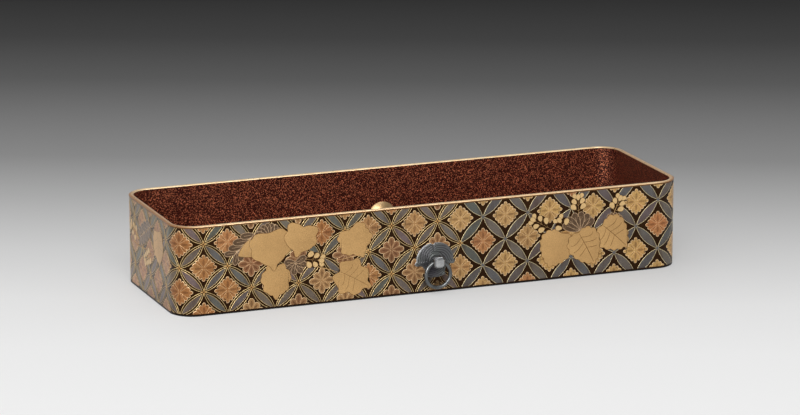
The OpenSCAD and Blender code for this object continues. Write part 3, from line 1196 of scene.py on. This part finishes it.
# %% Shape and colour the engraving
BEVEL = 0.5 * MM
EDGE_SHARE = 0.45
SEAT_FLAT = 2.6 * MM
SEAT_EDGE = 3.2 * MM
SEAT_BEVEL = 0.2 * MM
SEAT_GROOVE = 4.1 * MM
PLAIN_MARGIN = 0.8 * MM
GROOVE_DEPTH = 0.15 * MM
GROOVE_HALF = 0.24 * MM
ARMS = 9
WINDINGS = 8
PLATE_GREY = paint(101, 104, 102)
RUBBED_AND_LIT_EDGE = paint(158, 160, 160)
GROOVE_DARK = paint(44, 45, 48)
TARNISH_AND_SHADOW = paint(26, 26, 28)
TARNISH_SHADOW_SIDE = -2.0 * MM
TARNISH_SHADOW_DROP = 4.0 * MM
TARNISH_SHADOW_REACH = 7.0 * MM
TARNISH_SHADOW_DEPTH = 0.92
BLOOM = paint(92, 84, 94)
BLOOM_PATCH = 6 * MM
BLOOM_SHARE = 0.3
METAL_RANGE = (0.35, 0.65)
METAL_GRAIN = 0.9 * MM


def smooth(value):
    value = min(max(value, 0), 1)
    return value * value * (3 - 2 * value)


def groove(radius, reach, angle):
    """Depth of the engraving: a ring round the seat, and lines that wind slowly out from it to the edge."""
    phase = (angle / (2 * math.pi) * ARMS + WINDINGS * radius / reach) % 1
    lines = [abs(radius - SEAT_GROOVE)]
    if SEAT_GROOVE < radius < reach - PLAIN_MARGIN:
        lines.append(abs(phase - 0.5) * reach / WINDINGS)
    return GROOVE_DEPTH * smooth(1 - min(lines) / GROOVE_HALF)


def plate_rise(radius, reach, cut, face_rise, seat_rise):
    """Height over the wall: a seat with a small bevel, and a face that is cut and falls off at its edge."""
    if radius < SEAT_EDGE:
        return seat_rise - SEAT_BEVEL * smooth((radius - SEAT_FLAT) / (SEAT_EDGE - SEAT_FLAT))
    return face_rise * (EDGE_SHARE + (1 - EDGE_SHARE) * smooth((reach - radius) / BEVEL)) - cut


def plate_colour(radius, reach, angle, cut):
    """Grey metal, brighter at the edge and darker behind the ring, partly rubbing and tarnish and partly
    painted highlight and shadow, and dark in the cuts.
    """
    # painted highlight together with rubbing: the colour brightens towards the edge all round
    rubbed = blend_colours(smooth(1 - (reach - radius) / BEVEL), PLATE_GREY, RUBBED_AND_LIT_EDGE)
    # painted shadow of the ring and the pin's head together with tarnish: darker left of and below the pin
    side = radius * math.cos(angle) - TARNISH_SHADOW_SIDE
    drop = radius * math.sin(angle) + TARNISH_SHADOW_DROP
    tarnish_and_shadow = TARNISH_SHADOW_DEPTH * smooth(1 - math.hypot(side, drop) / TARNISH_SHADOW_REACH)
    return blend_colours(cut / GROOVE_DEPTH, blend_colours(tarnish_and_shadow, rubbed, TARNISH_AND_SHADOW), GROOVE_DARK)


def engraved_metal():
    """Dark metal in the mesh's own tint, with a faint bloom."""
    finish = Finish("dark_metal", Metallic=0.8)
    tint = finish.node("ShaderNodeAttribute", {"attribute_name": "tint"})
    bloom = finish.spread(finish.noise(BLOOM_PATCH, 3), *METAL_RANGE)
    finish.feed("Base Color", finish.mix(bloom * BLOOM_SHARE, tint, BLOOM))
    finish.feed("Roughness", finish.uneven(METAL_GRAIN, 3, 0.34, 0.5))
    return finish


dark_metal = engraved_metal()
print("engraving:", ARMS, "lines,", round(GROOVE_DEPTH / MM, 2), "mm deep")

# %% Make the plates
PLATE_STEPS = 320
PLATE_RINGS = 60
PLATE_HOLE = 1.25 * MM


def engraved_plate(name, node, joint):
    pin = Vector(joint["pos_m"])
    outward = math.copysign(1, pin.y)
    foot, face, seat = plate_levels(node, outward)
    edges = outline_edges(node, pin, face)
    turns = [2 * math.pi * step / PLATE_STEPS for step in range(PLATE_STEPS)]
    reaches = [reach_of(edges, turn) for turn in turns]
    plate = bmesh.new()
    tint = plate.verts.layers.float_color.new("tint")
    rings = []
    for ring in range(PLATE_RINGS + 1):
        row = []
        for turn, reach in zip(turns, reaches):
            radius = PLATE_HOLE + (reach - PLATE_HOLE) * ring / PLATE_RINGS
            cut = groove(radius, reach, turn)
            rise = plate_rise(radius, reach, cut, abs(face - foot), abs(seat - foot))
            x, z = pin.x + radius * math.cos(turn), pin.z + radius * math.sin(turn)
            point = plate.verts.new((x, foot + outward * rise, z))
            point[tint] = plate_colour(radius, reach, turn, cut)
            row.append(point)
        rings.append(row)
    back = [plate.verts.new((vert.co.x, foot, vert.co.z)) for vert in rings[-1]]
    hole = [plate.verts.new((vert.co.x, foot, vert.co.z)) for vert in rings[0]]
    loops = [hole, *rings, back, hole]
    for first, second in zip(loops, loops[1:]):
        for step in range(PLATE_STEPS):
            after = (step + 1) % PLATE_STEPS
            plate.faces.new((first[step], second[step], second[after], first[after]))
    bmesh.ops.recalc_face_normals(plate, faces=plate.faces[:])
    piece = make_piece(name, plate, dark_metal)
    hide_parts(node)
    print(name, "reaches", round(max(reaches) / MM, 2), "mm from its pin")


joints = {joint["name"]: joint for joint in frame["joints"]}
engraved_plate("front_engraved_plate", "front_plate", joints["front_ring_swing"])
engraved_plate("back_engraved_plate", "back_plate", joints["back_ring_swing"])

# %% [markdown]
# ## The lining and the rim
#
# These are the solids themselves, so only their finish is made here. The lining is clear reddish lacquer over
# flakes of gold that lie at different depths, made sparser where it bends into the ends as painted shade.
# Flakes could be scattered as geometry, but cells of random brightness give their sparkle at a fraction of
# the cost. The rim is gold powder, turned browner on its outward slope and at the box's ends as painted
# shade.

# %% Finishes of the lining and the rim
FLAKE = 0.28 * MM
DEEP_FLAKE = 0.31 * MM
FLAKES_FROM = 0.78
CLEAR_BELOW = 0.4
DEEP_CLEAR_BELOW = 0.3
CLEAR_SHARE = 0.95
DEEP_CLEAR_SHARE = 0.9
FLAKE_SHARE = 0.95
FLAKE_METAL = 0.85
BEND_START = 119 * MM
BEND_END = 122.3 * MM
SHADED_END_FLAKES = 0.35
RIM_SLOPE = 50 * MM
RIM_BEND = 117 * MM
RIM_END = 123 * MM
SLOPE_SHADE = 0.75
END_SHADE = 0.5
SHADED_GOLD = paint(168, 112, 66)


def nashiji():
    """Reddish lacquer with gold flakes. They are made sparser where the lining bends into the ends, which
    paints shade there.
    """
    gloss = {"Coat_Weight": 0.6, "Coat_IOR": 1.35, "Coat_Roughness": 0.2}
    finish = Finish("nashiji_lacquer", Specular_IOR_Level=0.2, **gloss)
    near = finish.cells(FLAKE)
    deep = finish.cells(DEEP_FLAKE)
    along = finish.along()
    # painted shade: fewer flakes, and so a darker lining, where it bends into the ends
    flakes_shaded_at_ends = finish.spread(along * along, BEND_START * BEND_START, BEND_END * BEND_END, 1.0, SHADED_END_FLAKES)
    flakes = (near > FLAKES_FROM) * flakes_shaded_at_ends
    colour = finish.mottled(10 * MM, 4, (84, 29, 18), (100, 37, 24))
    colour = finish.mix((near < CLEAR_BELOW) * CLEAR_SHARE, colour, paint(34, 5, 2))
    colour = finish.mix(flakes * FLAKE_SHARE, colour, paint(252, 158, 114))
    colour = finish.mix((deep < DEEP_CLEAR_BELOW) * DEEP_CLEAR_SHARE, colour, paint(34, 6, 3))
    finish.feed("Base Color", colour)
    finish.feed("Metallic", flakes * FLAKE_METAL)
    finish.feed("Roughness", finish.spread(near, 0.0, 1.0, 0.35, 0.52))
    return finish


def rim_gold():
    """Gold that is bright along the crown, with painted shade that turns it browner on the outward slope and
    at the box's ends.
    """
    finish = Finish("rim_gold", Metallic=0.6)
    gold = finish.mottled(3 * MM, 4, (244, 206, 154), (255, 230, 186))
    # painted shade: the gold turns browner on the outward slope and at the box's ends
    level_place = finish.vectors("MULTIPLY", finish.place(), (1, 1, 0), "Vector")
    slope = finish.spread(finish.vectors("DOT_PRODUCT", finish.normal(), level_place), 0.0, RIM_SLOPE)
    along = finish.along()
    ends = finish.spread(along * along, RIM_BEND * RIM_BEND, RIM_END * RIM_END, 0.0, END_SHADE)
    finish.feed("Base Color", finish.mix(slope * SLOPE_SHADE, finish.mix(ends, gold, SHADED_GOLD), SHADED_GOLD))
    finish.feed("Roughness", finish.uneven(1.2 * MM, 2, 0.26, 0.4))
    return finish


lining_lacquer = nashiji()
rim_finish = rim_gold()
print("lining and rim finishes:", lining_lacquer.material.name, rim_finish.material.name)

# %% [markdown]
# ## The foot, the wood and the metal
#
# The underside is dark lacquer, darker than the black ground as painted shade under the foot, and the boards
# under the coats are bare wood. The fittings are dark patinated metal. A single flat grey would look like
# plastic, so patches of two tones, small dents and uneven roughness break it up. The heads of the pins are
# brighter on their face and darker on their sides, partly rubbed and partly painted light and shade, and the
# caps inside are gilt.

# %% Finishes of the foot, the wood and the metal
SMOOTHEST = -0.06
ROUGHEST = 0.08
DENT_SIZE = 1.2 * MM
DENT_DEPTH = 0.01 * MM
DENT_STRENGTH = 0.2
PIN_FACE_FROM = 0.5
PIN_FACE_FULL = 0.95


def shaded_foot_lacquer():
    finish = Finish("shaded_foot_lacquer", Specular_IOR_Level=0.2)
    # painted shade under the foot: the underside is darker than the black ground
    finish.feed("Base Color", finish.mottled(8 * MM, 3, (10, 7, 5), (22, 15, 10)))
    finish.feed("Roughness", finish.uneven(2 * MM, 3, 0.4, 0.6))
    return finish


def bare_wood():
    finish = Finish("wood_core", Roughness=0.6)
    finish.feed("Base Color", finish.mottled(2 * MM, 4, (176, 132, 86), (206, 168, 118)))
    return finish


def patinated_metal(name, low, high, roughness, patch):
    """Metal in patches of two tones, with small dents."""
    finish = Finish(name, Metallic=0.85)
    finish.feed("Base Color", finish.mottled(patch, 3, low, high, METAL_RANGE))
    finish.feed("Roughness", finish.uneven(METAL_GRAIN, 3, roughness + SMOOTHEST, roughness + ROUGHEST))
    finish.bump(finish.noise(DENT_SIZE, 2), DENT_DEPTH, DENT_STRENGTH)
    return finish


def pin_rubbed_and_lit():
    """The pin's metal, darker on the sides of its head and brighter on the face: partly rubbed, partly
    painted light and shade.
    """
    finish = Finish("pin_metal", Metallic=0.85)
    # painted light and shade together with rubbing: brighter where the head faces straight out, darker on its
    # sides
    outward = finish.vectors("DOT_PRODUCT", finish.normal(), (0, 1, 0))
    face = finish.spread(outward * outward, PIN_FACE_FROM, PIN_FACE_FULL)
    bright = finish.mottled(3 * MM, 3, (164, 165, 166), (188, 189, 189), METAL_RANGE)
    finish.feed("Base Color", finish.mix(face, paint(124, 125, 127), bright))
    finish.feed("Roughness", finish.uneven(METAL_GRAIN, 3, 0.12, 0.26))
    return finish


ring_metal = patinated_metal("ring_metal", (92, 94, 95), (110, 112, 112), 0.28, 4 * MM)
gilt_metal = patinated_metal("gilt_metal", (176, 145, 104), (200, 170, 126), 0.36, 3 * MM)
print("metals:", ring_metal.material.name, gilt_metal.material.name)

# %% [markdown]
# ## Dressing the solids
#
# A solid keeps its shape and place, and only the material in its slots is changed. Pieces that would be made
# of one stuff share one finish, which keeps the model small.

# %% Dress the solids
def dress(finish, *names):
    for name in names:
        for slot in nodes[name].material_slots:
            slot.material = finish.material


boards = [name for name in nodes if name.endswith(("_board", "_corner"))]
dress(bare_wood(), *boards)
dress(black_ground, "outer_lacquer")
dress(shaded_foot_lacquer(), "underside_lacquer")
dress(lining_lacquer, "nashiji_lining")
dress(rim_finish, "gold_rim")
dress(dark_metal, "front_plate", "back_plate")
dress(pin_rubbed_and_lit(), "front_split_pin", "back_split_pin")
dress(ring_metal, "front_ring", "back_ring")
dress(gilt_metal, "front_inner_cap", "back_inner_cap")
print("dressed", len(boards), "wooden pieces and the coats, rim and metal")

# %% [markdown]
# ## The size
#
# Decoration should not make the box larger than its solids.
